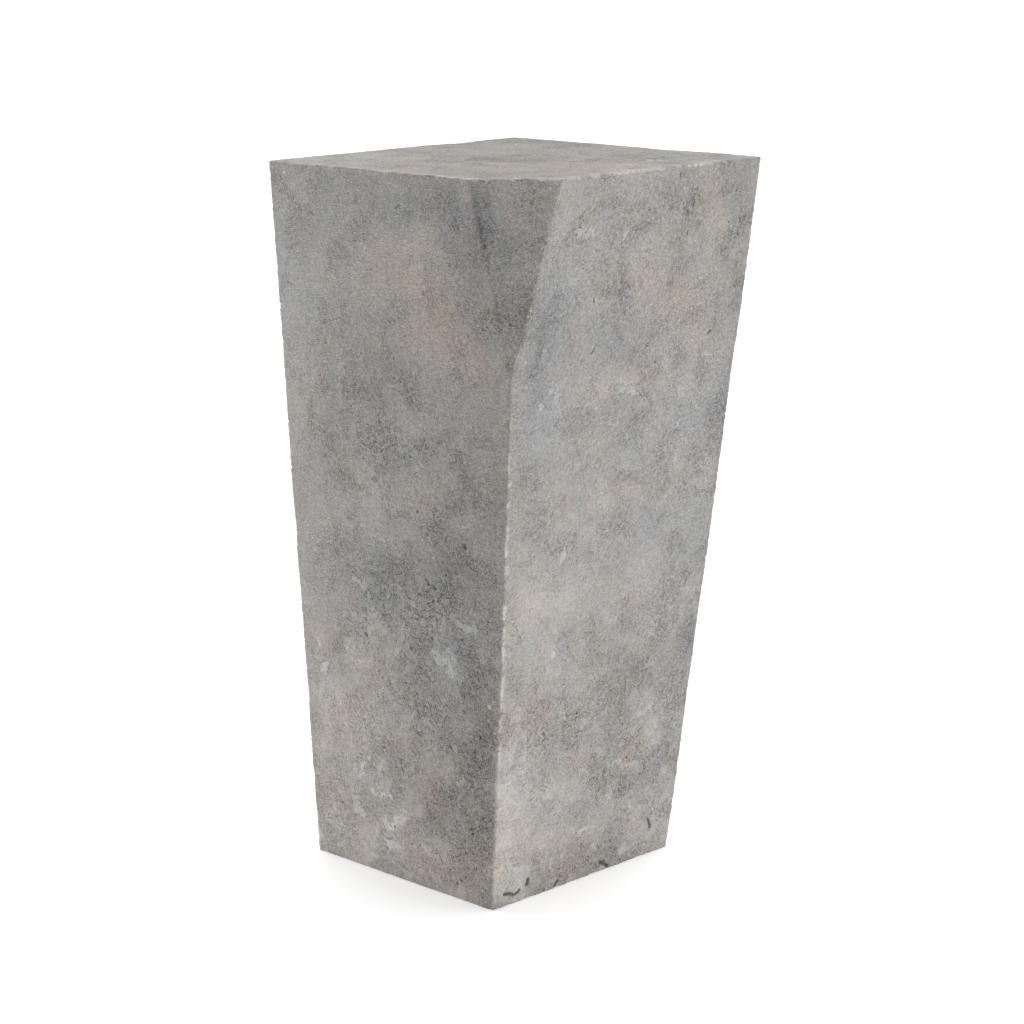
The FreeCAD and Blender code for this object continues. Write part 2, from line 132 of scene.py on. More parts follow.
class Face:
    """A flat face of the coat: its plane, and its own across and up directions."""

    def __init__(self, name):
        self.name = name
        self.corners = FACES[name]
        a, b, c = (CORNERS[corner] for corner in self.corners[:3])
        normal = np.cross(b - a, c - a)
        self.normal = normal / np.linalg.norm(normal)
        self.offset = self.normal @ a
        across = np.cross((0, 0, 1), self.normal) if name != "top" else np.array((1.0, 0, 0))
        self.across = across / np.linalg.norm(across)
        self.up = np.cross(self.normal, self.across)

    def flat(self, points):
        """The points in the face's own two directions."""
        return np.stack([points @ self.across, points @ self.up], axis=-1)

    def solid(self, flat):
        """Points of the face in space, from its own two directions."""
        return self.offset * self.normal + flat[:, :1] * self.across + flat[:, 1:] * self.up

    def at(self, across, up):
        """The point of the face above x or y and z, or on the top above x and y."""
        known = PLACE_AXES.get(self.name, (0, 2))
        missing = 3 - sum(known)
        point = np.zeros(3)
        point[list(known)] = across, up
        point[missing] = (self.offset - self.normal @ point) / self.normal[missing]
        return point


faces = {name: Face(name) for name in FACES}


def meet(planes):
    """The point where three planes meet, each given by its normal and its offset."""
    normals, offsets = zip(*planes)
    return np.linalg.solve(np.array(normals), np.array(offsets))


def faces_at(corner):
    """The names of the faces that meet at a corner."""
    return [name for name, outline in FACES.items() if corner in outline]


# ---- marks on the coat


def rows_of(table):
    """Every row of a table of marks, with the name of its face first."""
    return [(face, *row) for face, marks in table.items() for row in marks]


# The tables in braces list marks under the face that they are on. Places and sizes are in millimetres,
# and a place is x or y and the height, or on the top x and y.

# Pits and cracks: the places of a line, half its width, and its depth.
PITS = {
    "right": [
        ([(-170, 17), (-162, 16), (-157, 14)], 2.3, 2.2),
        ([(-157, 14), (-152, 11.5), (-146, 13), (-143, 16)], 2.0, 2.2),
        ([(-128, 25), (-129.5, 20)], 2.9, 2.4),
        ([(-72, 9), (-79, 2)], 1.3, 1.6),
        ([(-97, 3), (-98, 1)], 1.1, 1.2),
        ([(6, 13.5), (14, 9), (22, 3)], 2.2, 2.2),
        ([(13, 14), (15, 12)], 1.3, 1.4),
        ([(96, 50), (99.5, 43), (100.5, 37)], 2.0, 2.0),
        ([(-18, 22)], 1.3, 1.2),
        ([(-76, 696), (-69, 703)], 0.9, 0.9),
        ([(66, 905), (65, 901)], 1.3, 1.2),
        ([(84, 858), (86, 850)], 0.9, 0.8),
        ([(87, 833), (86, 827)], 0.9, 0.8),
        ([(-77, 764), (-75, 759)], 0.9, 0.8),
        ([(96, 868), (94, 861)], 0.9, 0.8),
        ([(13, 864)], 1.2, 1.0),
        ([(165, 836)], 1.4, 1.2),
        ([(43, 672)], 1.3, 1.2),
        ([(146, 700), (142, 697)], 1.3, 1.2),
    ],
    "front": [
        ([(29, 498)], 1.7, 1.5),
        ([(109, 469), (111, 464)], 1.2, 1.2),
        ([(39, 413), (44, 407)], 1.2, 1.2),
        ([(21, 566)], 1.4, 1.2),
        ([(-78, 322), (-75, 318)], 1.2, 1.2),
        ([(-38, 69)], 1.5, 1.3),
        ([(46, 21)], 1.3, 1.1),
        ([(-5, 270)], 1.4, 1.2),
    ],
    "back": [
        ([(40, 30), (52, 27), (58, 33)], 1.8, 1.8),
        ([(-90, 410), (-84, 404)], 1.4, 1.4),
    ],
    "left": [
        ([(20, 18), (34, 14)], 1.7, 1.8),
        ([(-60, 640)], 1.6, 1.4),
    ],
}
CRACKS = {
    "right": [
        ([(-118, 203), (-84, 201), (-66, 203), (-46, 200), (-26, 197), (24, 186)], 0.5, 0.7),
        ([(-112, 249), (-94, 252), (-84, 258), (-74, 259)], 0.5, 0.7),
        ([(-80, 232), (-68, 234), (-56, 232)], 0.5, 0.6),
        ([(-199, 264), (-188, 261)], 0.7, 1.0),
        ([(-188, 58), (-145, 52), (-120, 44), (-93, 39)], 0.45, 0.5),
        ([(-114, 106), (-92, 103), (-73, 104)], 0.5, 0.6),
        ([(-103, 92), (-64, 88)], 0.5, 0.6),
        ([(11, 142), (30, 144), (55, 141)], 0.45, 0.5),
    ],
    "facet": [
        ([(213, 850), (209, 818), (205, 790)], 1.0, 0.6),
    ],
    "front": [
        ([(-112, 905), (-96, 868), (-84, 830)], 0.6, 0.4),
        ([(-72, 89), (-60, 93), (-49, 94)], 0.7, 0.9),
        ([(-64, 896), (-57, 876), (-46, 850)], 0.6, 0.5),
    ],
    "back": [
        ([(-20, 300), (10, 296), (34, 303), (60, 297)], 0.5, 0.6),
    ],
    "left": [
        ([(-90, 160), (-60, 165), (-40, 158)], 0.5, 0.6),
    ],
}

# Thin late smears of lighter cement: the places of a line, and half its width.
SMEARS = {
    "front": [
        ([(-140, 432)], 5),
        ([(-171, 432)], 4),
        ([(-55, 455), (-40, 450)], 6),
        ([(-20, 452), (-13, 447), (-7, 436)], 4),
        ([(31, 465), (54, 472)], 5),
        ([(49, 452), (55, 445)], 4),
        ([(-92, 392), (-74, 384), (-66, 372)], 6),
        ([(-54, 370)], 3),
        ([(0, 343)], 5),
        ([(43, 348)], 5),
        ([(96, 364), (123, 362)], 7),
        ([(-171, 295)], 6),
        ([(-154, 271), (-164, 255)], 6),
        ([(-118, 298), (-92, 282), (-63, 272)], 3),
        ([(52, 312), (82, 322)], 11),
        ([(76, 303)], 9),
        ([(-19, 307)], 5),
        ([(-1, 294)], 4),
        ([(-112, 90), (-99, 71)], 9),
        ([(-73, 104), (-44, 111)], 6),
        ([(-66, 75), (-47, 69), (-13, 88)], 8),
        ([(0, 160)], 5),
        ([(80, 203)], 5),
        ([(-84, 153), (-106, 121)], 5),
        ([(-63, 45), (-30, 43)], 6),
        ([(86, 158), (113, 161)], 6),
        ([(139, 157)], 4),
    ],
    "right": [
        ([(-112, 850), (-88, 845)], 8),
        ([(-57, 822), (-50, 819)], 5),
        ([(-25, 842), (-33, 823)], 6),
        ([(132, 828)], 4),
        ([(58, 742), (72, 743)], 3.5),
        ([(112, 741), (128, 739)], 3),
        ([(68, 719), (81, 732)], 4),
        ([(-57, 726)], 4),
        ([(111, 700)], 5),
        ([(129, 673), (140, 668)], 5),
        ([(-155, 712), (-163, 696)], 5),
        ([(-141, 660), (-131, 649)], 6),
        ([(-158, 643)], 5),
        ([(-25, 645), (11, 637)], 4),
        ([(-65, 657)], 5),
        ([(-12, 714)], 4),
        ([(173, 752)], 4),
        ([(191, 864)], 4),
        ([(187, 809)], 4),
        ([(-36, 64), (-26, 70)], 5),
        ([(-118, 306), (-112, 322)], 6),
        ([(-107, 443), (-103, 452)], 5),
        ([(60, 205), (84, 212)], 5),
    ],
    "top": [
        ([(166, 30), (180, 40)], 8),
        ([(146, 84), (160, 100)], 8),
        ([(150, -48), (163, -38)], 6),
    ],
    "back": [
        ([(-60, 560), (-30, 540)], 10),
        ([(80, 260), (95, 240)], 9),
        ([(-110, 760), (-96, 748)], 6),
        ([(10, 90), (40, 80)], 9),
    ],
    "left": [
        ([(30, 700), (60, 690)], 9),
        ([(-70, 220), (-40, 240)], 10),
        ([(90, 430), (102, 418)], 6),
        ([(-20, 70), (10, 60)], 8),
    ],
}

# Small flecks of another colour: the place, and half the width.
CHALK = {
    "front": [
        ((-191, 901), 2.2),
        ((-213, 906), 2.0),
        ((143, 268), 3.0),
        ((150, 236), 1.6),
    ],
    "right": [
        ((-185, 762), 1.8),
        ((-189, 756), 1.5),
        ((-189, 700), 1.6),
        ((-196, 240), 2.4),
        ((-198, 228), 1.8),
        ((81, 913), 2.0),
        ((92, 912), 1.7),
        ((103, 912), 2.4),
    ],
    "top": [
        ((143, 93), 4.0),
        ((152, 100), 3.0),
        ((118, 66), 3.0),
    ],
    "back": [
        ((-60, 880), 2.4),
    ],
    "left": [
        ((110, 300), 2.2),
        ((-30, 905), 2.4),
    ],
}
RUST = {
    "right": [
        ((-45, 872), 1.7),
        ((60, 402), 1.6),
    ],
    "front": [
        ((80, 300), 1.6),
    ],
    "left": [
        ((70, 620), 1.7),
    ],
    "back": [
        ((-20, 180), 1.7),
    ],
}

# Arrises that are rubbed pale: on which face, from where to where, how much at each end, and how wide.
RUBBED = [
    ("right", "foot_front_right", "facet_foot", 4.0, 0.10, 4.5),
    ("right", "facet_foot", "facet_right", 0.30, 0.20, 1.6),
    ("front", "top_front_left", "facet_front", 1.00, 0.95, 2.2),
    ("facet", "facet_front", "facet_right", 0.95, 0.95, 2.0),
    ("right", "facet_right", "top_back_right", 0.80, 0.80, 2.2),
    ("top", "top_front_left", "facet_front", 1.2, 0.9, 6.0),
    ("top", "facet_front", "facet_right", 0.9, 0.8, 6.0),
    ("top", "facet_right", "top_back_right", 0.8, 0.8, 6.0),
    ("top", "top_front_left", "facet_front", 0.2, 0.4, 16.0),
    ("top", "facet_front", "facet_right", 0.4, 0.4, 18.0),
    ("top", "facet_right", "top_back_right", 0.4, 0.3, 18.0),
    ("back", "top_back_right", "top_back_left", 0.6, 0.5, 2.0),
    ("left", "top_back_left", "top_front_left", 0.5, 0.6, 2.0),
    ("back", "foot_back_left", "top_back_left", 0.6, 0.2, 2.0),
]

# Broad soft patches: the middle, half the size across and up, how much lighter or darker, how much
# warmer or cooler, and where a patch leans, its lean in degrees. The wide pale bands along the foot
# are painted light.
PATCHES_AND_PAINTED_LIGHT = {
    # light to the left and low, dark to the right and beside the facet, warm below its tip; the wide
    # pale band along the foot is painted light
    "front": [
        (-200, 450, 55, 420, 0.14, 0),
        (-40, 890, 170, 50, -0.06, -0.10),
        (-40, 660, 40, 50, -0.12, -0.10),
        (140, 480, 70, 330, -0.15, 0),
        (-110, 120, 130, 160, 0.27, 0.30),
        (110, 110, 60, 160, -0.10, 0),
        (8, 800, 55, 60, 0.05, 0.75, 35),
        (75, 733, 60, 60, 0.08, 0.95, 35),
        (150, 690, 45, 50, -0.04, 0.25, 35),
        (-35, 860, 45, 40, 0, -0.50),
        (40, 50, 60, 40, 0.08, 0.50),
        (125, 260, 34, 40, 0, 0.50),
        # painted light: a wide pale band along the foot, which brightens the lower wall
        (0, 15, 300, 50, 0.44, 0),
        (-105, 60, 34, 30, 0.22, -0.20),
        (20, 60, 50, 30, 0.12, 0),
        (155, 140, 24, 60, 0.34, 0.50),
        (150, 262, 24, 40, 0, 0.30),
        (85, 455, 34, 36, -0.20, 0.10),
        (30, 560, 40, 36, -0.14, 0),
        (-70, 660, 90, 40, -0.10, 0),
        (35, 265, 34, 36, -0.08, 0),
        (35, 360, 34, 30, 0, 0.35),
        (-165, 265, 30, 50, 0.16, -0.20),
        (-150, 830, 60, 70, 0, -0.45),
        (-200, 760, 25, 90, 0.08, -0.55),
        (70, 890, 45, 35, -0.14, -0.40),
        (130, 904, 9, 8, 0.12, 1.10),
        (30, 880, 14, 40, -0.08, -0.30, 10),
        (-160, 605, 45, 60, 0.02, 0.25),
        (10, 625, 120, 55, -0.08, -0.30, -5),
        (165, 560, 26, 50, -0.06, 0),
        (50, 365, 60, 40, -0.06, -0.10),
        (-30, 410, 90, 40, -0.16, -0.35),
        (110, 425, 60, 60, -0.08, -0.20),
        (30, 510, 60, 28, -0.02, 0.50, 20),
        (120, 570, 28, 30, -0.02, 0.45),
        (-145, 290, 55, 40, 0.10, 0.35),
        (-125, 205, 60, 50, 0.14, 0.35),
        (95, 335, 50, 30, -0.06, -0.50),
        (75, 305, 22, 16, 0.14, -0.50),
        (130, 190, 30, 90, -0.08, -0.20),
        (20, 150, 45, 40, -0.04, 0.55),
        (-50, 105, 70, 14, 0.12, -0.10, -25),
        (105, 60, 50, 50, -0.10, 0.55),
        (-175, 66, 40, 50, 0, 0.40),
        (130, 870, 40, 50, -0.16, -0.30),
        (150, 800, 34, 60, -0.14, 0),
    ],
    # blue-grey beside the facet and across the middle, bright low down by the corner; the wide pale
    # band along the foot is painted light
    "right": [
        (-180, 150, 50, 170, 0.20, 0.10),
        (-185, 40, 26, 70, 0.14, 0.35),
        (-110, 330, 90, 240, 0.17, 0),
        (90, 770, 150, 90, -0.12, -0.05),
        (90, 890, 130, 40, -0.07, 0),
        (-150, 880, 30, 40, 0.10, 0),
        (200, 700, 30, 260, -0.12, -0.40),
        (26, 790, 40, 40, 0.14, 0.60, -30),
        (138, 866, 60, 30, 0, 0.60),
        (112, 744, 50, 60, 0.02, 0.60),
        (190, 880, 40, 50, 0, -0.35),
        (0, 160, 40, 40, 0, 0.05),
        (-20, 60, 90, 30, 0.02, 0.30),
        # painted light: a wide pale band along the foot, which brightens the lower wall
        (-60, 60, 300, 90, 0.30, 0.05),
        (-105, 855, 50, 60, -0.02, 0.10),
        (-180, 770, 24, 40, -0.10, 0.30),
        (60, 415, 70, 70, 0.10, 0),
        (-20, 262, 40, 36, 0.14, 0),
        (80, 255, 36, 50, 0.12, 0),
        (-135, 165, 60, 44, 0.32, -0.20),
        (70, 160, 34, 40, 0.10, 0),
        (72, 62, 34, 34, 0.18, 0),
        (-160, 50, 40, 40, 0.22, 0),
        (-157, 722, 34, 70, -0.14, -0.90, -15),
        (-149, 634, 40, 50, 0.06, -0.95),
        (-32, 725, 45, 50, -0.04, -0.45, -25),
        (-24, 652, 90, 18, 0.14, 0.35, 4),
        (90, 580, 110, 34, -0.02, -0.70, 8),
        (-13, 533, 70, 34, 0.03, 0.35),
        (90, 512, 44, 10, 0.10, 0.35, 55),
        (48, 456, 60, 26, -0.04, -0.75, 10),
        (-128, 388, 44, 30, 0.20, 0.20, 10),
        (-169, 433, 30, 50, 0.12, 0.30),
        (136, 414, 30, 90, -0.02, -0.70),
        (144, 277, 24, 34, -0.16, -0.50),
        (119, 124, 26, 60, -0.06, -0.70),
        (16, 246, 50, 36, -0.14, 0.25),
        (-115, 246, 60, 26, -0.06, 0.50),
        (-105, 150, 60, 30, -0.02, 0.30),
        (45, 92, 34, 26, -0.14, 0.10),
        (-165, 88, 50, 40, 0.12, 0.10),
        (-42, 16, 70, 16, -0.02, 0.55),
        (78, 173, 60, 26, 0.08, 0.15, 15),
    ],
    # blue-grey at its left, darkest down its middle
    "facet": [
        (160, 862, 28, 60, -0.36, -0.90),
        (200, 885, 20, 34, -0.14, 0.20),
        (202, 755, 22, 60, -0.24, 0.10),
    ],
    # pale to the left, with beige along the front
    "top": [
        (-150, -150, 90, 90, 0.16, 0.15),
        (120, -60, 120, 60, 0.02, 0.45, 45),
        (0, 20, 90, 60, -0.05, -0.30, 45),
    ],
    "back": [
        (60, 700, 110, 90, 0.06, 0.60, 20),
        (-90, 420, 110, 120, -0.14, -0.40),
        (60, 130, 150, 110, 0.14, 0.35),
        (-60, 820, 70, 60, -0.06, -0.60),
    ],
    "left": [
        (-60, 740, 100, 70, 0.06, 0.60, -15),
        (60, 520, 110, 70, -0.10, -0.60),
        (-40, 300, 90, 60, -0.12, -0.20),
        (0, 110, 150, 110, 0.15, 0.35),
    ],
}

# Patches of open, crackled coat, and of smooth coat below 0: the middle, half the size across and up,
# and how much.
ROUGH_PATCHES = {
    "front": [
        (30, 375, 75, 38, 0.8),
        (0, 420, 160, 110, 0.4),
        (-60, 560, 80, 60, 0.4),
        (0, 30, 220, 26, 0.5),
        (-160, 60, 26, 50, 0.4),
        (110, 95, 50, 40, 0.5),
        (-60, 90, 60, 26, -0.6),
        (-20, 460, 110, 22, -0.5),
        (20, 850, 90, 60, -0.2),
    ],
    "right": [
        (-30, 15, 200, 30, 0.5),
        (-80, 225, 90, 40, 0.4),
        (40, 130, 60, 30, 0.5),
        (-120, 90, 70, 30, -0.3),
        (-100, 350, 60, 60, -0.3),
        (-110, 700, 50, 80, -0.2),
        (60, 640, 80, 40, 0.3),
        (80, 850, 50, 40, 0.3),
    ],
    "back": [
        (0, 60, 160, 60, 0.5),
        (-40, 500, 60, 40, 0.5),
    ],
    "left": [
        (0, 60, 160, 60, 0.5),
        (30, 360, 60, 40, 0.5),
    ],
}

# Where the arrises are worn rounder than elsewhere: a face, a place, the reach, and how soft.
WORN_ARRISES = [
    ("front", -175, 914, 45, 2.4),
    ("front", 30, 914, 40, 1.4),
    ("right", 190, 914, 35, 1.8),
    ("right", -199, 262, 10, 1.6),
    ("back", 60, 914, 40, 1.6),
    ("left", 120, 914, 30, 1.8),
]


class Line:
    """A mark's line on a face, or its only place, in space."""

    def __init__(self, face, places):
        self.points = [faces[face].at(across * MM, up * MM) for across, up in places]

    def distance(self, points):
        """How far each point is from the line."""
        nearest = np.full(len(points), np.inf)
        starts = self.points[:-1] or self.points
        for start, end in zip(starts, self.points[1:] or self.points):
            nearest = np.minimum(nearest, gap_to(points, start, end)[0])
        return nearest


def read_marks(table):
    """The lines of a table of pits or cracks, each with its half width and its depth."""
    return [(Line(face, places), half * MM, deep * MM) for face, places, half, deep in rows_of(table)]


# ---- the mesh of the coat

FINE_EDGE = 1.3 * MM
PLAIN_EDGE = 2.6 * MM
FINE_MARK = 1.05 * MM
GROWTH = 0.35
GRID = {"front": 1.05 * MM, "right": 1.05 * MM, "top": 1.05 * MM, "facet": 0.9 * MM}
AWAY_GRID = 1.6 * MM
GRID_LEVELS = 3
WIDEST = 1.4  # the widest wanted spacing, in steps of the coarsest grid
THINNING = 1.5  # a grid point stays if the wanted spacing is below this many of its own steps,
ROOM = 0.55  # and if it is at least this many spacings inside the outline
RIM_BLEND = 12 * MM
CORNER_CHIP = 2.6 * MM
INNER_LIFT = 0.7
ARRIS_REACH = 3.5 * MM
CRISP_ARRIS = 0.40 * MM
WORN_ARRIS = 0.8 * MM
# how much of a pit's painted shade a crack gets
CRACK_SHADE = 0.75


def rim_height(points):
    """How far the lower rim of the coat is broken away above the floor, at each point."""
    corner = CORNERS["foot_front_right"]
    rough = np.clip(wander(points, 14 * MM, 3, 21) + 0.1, 0, None)
    right = rise(points[:, 0], corner[0] - 4 * MM, corner[0])
    from_corner = np.linalg.norm(points - corner, axis=1)
    chip = rise(from_corner + 2 * MM * wander(points, 5 * MM, 2, 22), 8 * MM, 3 * MM)
    return rough * (0.7 + 1.3 * right) * MM + CORNER_CHIP * chip


def spacing_near(points, face, marks):
    """The wanted distance between mesh points: fine at the arrises and marks, wider between."""
    flat = face.flat(points)
    coarsest = GRID.get(face.name, AWAY_GRID) * 2 ** (GRID_LEVELS - 1)
    wanted = np.full(len(points), coarsest * WIDEST)
    for start, end in zip(face.corners, face.corners[1:] + face.corners[:1]):
        gap, _ = gap_to(flat, face.flat(CORNERS[start]), face.flat(CORNERS[end]))
        wanted = np.minimum(wanted, edge_spacing(start, end) + GROWTH * gap)
    for line, half_width in marks:
        gap = np.clip(line.distance(points) - half_width, 0, None)
        wanted = np.minimum(wanted, FINE_MARK + GROWTH * gap)
    return wanted


def edge_spacing(start, end):
    """The distance between mesh points along an edge: fine where a face beside it is in plain view."""
    beside = [name for name in faces_at(start) if name in faces_at(end)]
    return PLAIN_EDGE if all(name in AWAY for name in beside) else FINE_EDGE


def inside(flat, outline):
    """How far each flat point is inside a convex outline: below 0 outside it."""
    depth = np.full(len(flat), np.inf)
    for a, b in zip(outline, np.roll(outline, -1, axis=0)):
        run = (b - a) / np.linalg.norm(b - a)
        depth = np.minimum(depth, run[0] * (flat[:, 1] - a[1]) - run[1] * (flat[:, 0] - a[0]))
    return depth


def inner_points(face, marks):
    """Points inside a face, on square grids that halve towards the arrises and marks."""
    outline = face.flat(np.array([CORNERS[corner] for corner in face.corners]))
    finest = GRID.get(face.name, AWAY_GRID)
    low, high = outline.min(0), outline.max(0)
    columns, rows = np.ceil((high - low) / finest).astype(int)
    column, row = np.meshgrid(np.arange(columns), np.arange(rows))
    column, row = column.ravel(), row.ravel()
    flat = low + finest * np.stack([column, row], axis=1)
    depth = inside(flat, outline)
    kept = depth > 0.5 * FINE_EDGE
    column, row, flat, depth = column[kept], row[kept], flat[kept], depth[kept]
    wanted = spacing_near(face.solid(flat), face, marks)
    level = np.zeros(len(flat), int)
    for k in range(1, GRID_LEVELS):
        level[(column % 2**k == 0) & (row % 2**k == 0)] = k
    kept = (wanted < THINNING * finest * 2**level) & (depth > ROOM * wanted)
    return flat[kept]


class Mesh:
    """The points and faces of the coat while it is made. Edges are shared between its faces."""

    def __init__(self):
        self.points = []
        self.polygons = []
        self.corner = {}
        self.edge = {}

    def add(self, points):
        """Adds points and gives their numbers."""
        first = len(self.points)
        self.points.extend(points)
        return list(range(first, len(self.points)))

    def between(self, a, b, count):
        """Adds the points that part the way from a to b into count steps, and gives their numbers."""
        return self.add([a + (b - a) * k / count for k in range(1, count)])

    def along(self, start, end):
        """The points of the edge between two corners, made once, in that direction."""
        if (end, start) in self.edge:
            return self.edge[end, start][::-1]
        if (start, end) not in self.edge:
            for corner in (start, end):
                if corner not in self.corner:
                    self.corner[corner] = self.add([CORNERS[corner]])[0]
            a, b = CORNERS[start], CORNERS[end]
            count = round(np.linalg.norm(b - a) / edge_spacing(start, end))
            middle = self.between(a, b, count)
            self.edge[start, end] = [self.corner[start], *middle, self.corner[end]]
        return self.edge[start, end]


def fill_face(mesh, face, marks):
    """Triangles over one face, which use the shared points of its edges."""
    loop = []
    for start, end in zip(face.corners, face.corners[1:] + face.corners[:1]):
        loop += mesh.along(start, end)[:-1]
    inner = inner_points(face, marks)
    ids = loop + mesh.add(face.solid(inner))
    flat = np.concatenate([face.flat(np.array([mesh.points[i] for i in loop])), inner])
    border = [(k, (k + 1) % len(loop)) for k in range(len(loop))]
    inside_border = 1
    tolerance = 1e-7
    _, _, triangles, origins, _, _ = delaunay_2d_cdt(
        [Vector(p) for p in flat], border, [], inside_border, tolerance
    )
    whole = [ids[found[0]] for found in origins]
    mesh.polygons += [tuple(whole[k] for k in triangle) for triangle in triangles]


def rounded(points, relief, softness):
    """Moves each point onto the solid whose faces meet in rounded arrises, raised by the relief."""
    normals = np.array([face.normal for face in faces.values()])
    offsets = np.array([face.offset for face in faces.values()])
    steps = 4
    for _ in range(steps):
        out = points @ normals.T - offsets
        most = out.max(1)
        share = np.exp((out - most[:, None]) / softness[:, None])
        level = most + softness * np.log(share.sum(1))
        slope = share @ normals / share.sum(1)[:, None]
        move = (level - relief) / (slope**2).sum(1)
        points = points - slope * move[:, None]
    return points


def arris_nearness(points):
    """1 on an arris, fading to 0 within a few millimetres on the flat faces."""
    out = np.array([points @ face.normal - face.offset for face in faces.values()])
    second = np.sort(out, axis=0)[-2]
    return rise(second, -ARRIS_REACH, 0)


def arris_softness(points):
    """How round the arrises are: crisp in most places, worn in a few."""
    softness = CRISP_ARRIS + WORN_ARRIS * np.clip(wander(points, 40 * MM, 3, 31), 0, None)
    for face, across, up, reach, soft in WORN_ARRISES:
        middle = faces[face].at(across * MM, up * MM)
        gap = np.linalg.norm(points - middle, axis=1)
        softness += soft * MM * rise(gap, reach * MM, 0.4 * reach * MM)
    return softness


def trowel_relief(points):
    """The waves that a trowel leaves, and the grain and small bites along the arrises."""
    near = arris_nearness(points)
    waves = 0.6 * wander(points, 110 * MM, 2, 1) + 0.25 * wander(points, 34 * MM, 2, 2)
    grain = 0.22 * wander(points, 10 * MM, 3, 3)
    bites = np.clip(wander(points, 6 * MM, 3, 4) - 0.35, 0, None) * near
    crumbs = 0.4 * wander(points, 3.5 * MM, 2, 5) * near
    return (waves + grain + crumbs - 2.2 * bites) * MM


def sink(points, marks, edge):
    """How deep each point is in a set of marks, and how much of it is inside one."""
    ragged = 0.33 * wander(points, 3.2 * MM, 3, 6)
    depth = np.zeros(len(points))
    share = np.zeros(len(points))
    for line, half_width, full_depth in marks:
        gap = line.distance(points) + half_width * ragged
        inside_mark = rise(gap, half_width + edge, max(half_width - edge, 0.1 * MM))
        depth = np.maximum(depth, full_depth * inside_mark)
        share = np.maximum(share, inside_mark)
    return depth, share


def patch_weight(points, moved, name, across, up, half_across, half_up, lean=0):
    """How much each point belongs to a soft oval patch of a face: 1 in its middle.

    The oval is read at the moved points, which bends its outline.
    """
    face = faces[name]
    near_plane = rise(np.abs(points @ face.normal - face.offset), 5 * MM, 1 * MM)
    offset = moved - face.at(across * MM, up * MM)
    x, y = offset @ face.across, offset @ face.up
    c, s = math.cos(math.radians(lean)), math.sin(math.radians(lean))
    u, v = (c * x + s * y) / (half_across * MM), (c * y - s * x) / (half_up * MM)
    return np.exp(-(u**2 + v**2)) * near_plane


def patch_values(points):
    """The tone and warmth of the broad patches at each point. The tone includes painted light along
    the foot.
    """
    moved = drift(points, 70 * MM, 26 * MM, 41)
    tone = np.zeros(len(points))
    warmth = np.zeros(len(points))
    for face, across, up, half_across, half_up, lighter_and_painted_light, warmer, *lean in rows_of(PATCHES_AND_PAINTED_LIGHT):
        weight = patch_weight(points, moved, face, across, up, half_across, half_up, *lean)
        tone += lighter_and_painted_light * weight
        warmth += warmer * weight
    return tone, warmth


def fleck_values(points, table):
    """1 inside a fleck, 0 outside."""
    ragged = 0.35 * wander(points, 2.5 * MM, 2, 61)
    share = np.zeros(len(points))
    for face, place, half_width in rows_of(table):
        gap = Line(face, [place]).distance(points) / (half_width * MM)
        share = np.maximum(share, rise(gap + ragged, 1.25, 0.65))
    return share


def rubbed_values(points):
    """How pale each point is rubbed, along the arrises."""
    wider = 1 + 0.5 * wander(points, 18 * MM, 3, 62)
    broken = rise(wander(points, 16 * MM, 4, 63), -0.35, 0.35)
    pale = np.zeros(len(points))
    for name, start, end, first, last, width in RUBBED:
        gap, share = gap_to(points, CORNERS[start], CORNERS[end])
        on_face = rise(points @ faces[name].normal - faces[name].offset, -1.0 * MM, -0.3 * MM)
        amount = np.minimum((first + (last - first) * share) * broken, 1)
        beyond = gap - width * MM * wider
        pale = np.maximum(pale, amount * on_face * rise(beyond, 0.8 * MM, -0.8 * MM))
    return pale


def eroded_values(points):
    """How eroded the coat is: more near the floor, and in the rough patches."""
    height = points[:, 2] + 0.09 * wander(points, 160 * MM, 3, 64)
    eroded = 0.6 * rise(height, 0.50 * TOP, 0.18 * TOP)
    moved = drift(points, 40 * MM, 14 * MM, 65)
    for face, across, up, half_across, half_up, amount in rows_of(ROUGH_PATCHES):
        eroded += amount * patch_weight(points, moved, face, across, up, half_across, half_up)
    return eroded


def smear_values(points):
    """How near the middle of a smear each point is, 1 in the middle, below 0 well outside."""
    moved = drift(points, 14 * MM, 6 * MM, 51)
    best = np.full(len(points), -1.0)
    for face, places, half_width in rows_of(SMEARS):
        plane = faces[face]
        gap = Line(face, places).distance(moved) / (half_width * MM)
        off_plane = rise(np.abs(points @ plane.normal - plane.offset), 2 * MM, 6 * MM)
        best = np.maximum(best, 1.3 - gap - 2 * off_plane)
    return np.clip(best, -1, 1)


def close_shell(mesh):
    """The rim below the coat and the flat walls inside it, as far as the boards."""
    inner = {}
    for corner in CORNERS:
        planes = [(faces[name].normal, faces[name].offset - COAT) for name in faces_at(corner)]
        if corner.startswith("foot"):
            planes.append(((0, 0, 1), FOOT))
        inner[corner] = mesh.add([meet(planes)])[0]
    inner_foot = {}
    for name in SIDES:
        start, end = FACES[name][:2]
        outer = mesh.along(start, end)
        a, b = mesh.points[inner[start]], mesh.points[inner[end]]
        count = len(outer) - 1
        middle = mesh.between(a, b, count)
        inner_foot[name] = [inner[start], *middle, inner[end]]
        for k in range(count):
            quad = (outer[k + 1], outer[k], inner_foot[name][k], inner_foot[name][k + 1])
            mesh.polygons.append(quad)
    for name, outline in FACES.items():
        if name in SIDES:
            loop = inner_foot[name] + [inner[corner] for corner in outline[2:]]
        else:
            loop = [inner[corner] for corner in outline]
        mesh.polygons.append(tuple(reversed(loop)))


def add_object(name, data):
    """A new object in the scene."""
    made = bpy.data.objects.new(name, data)
    bpy.context.scene.collection.objects.link(made)
    return made


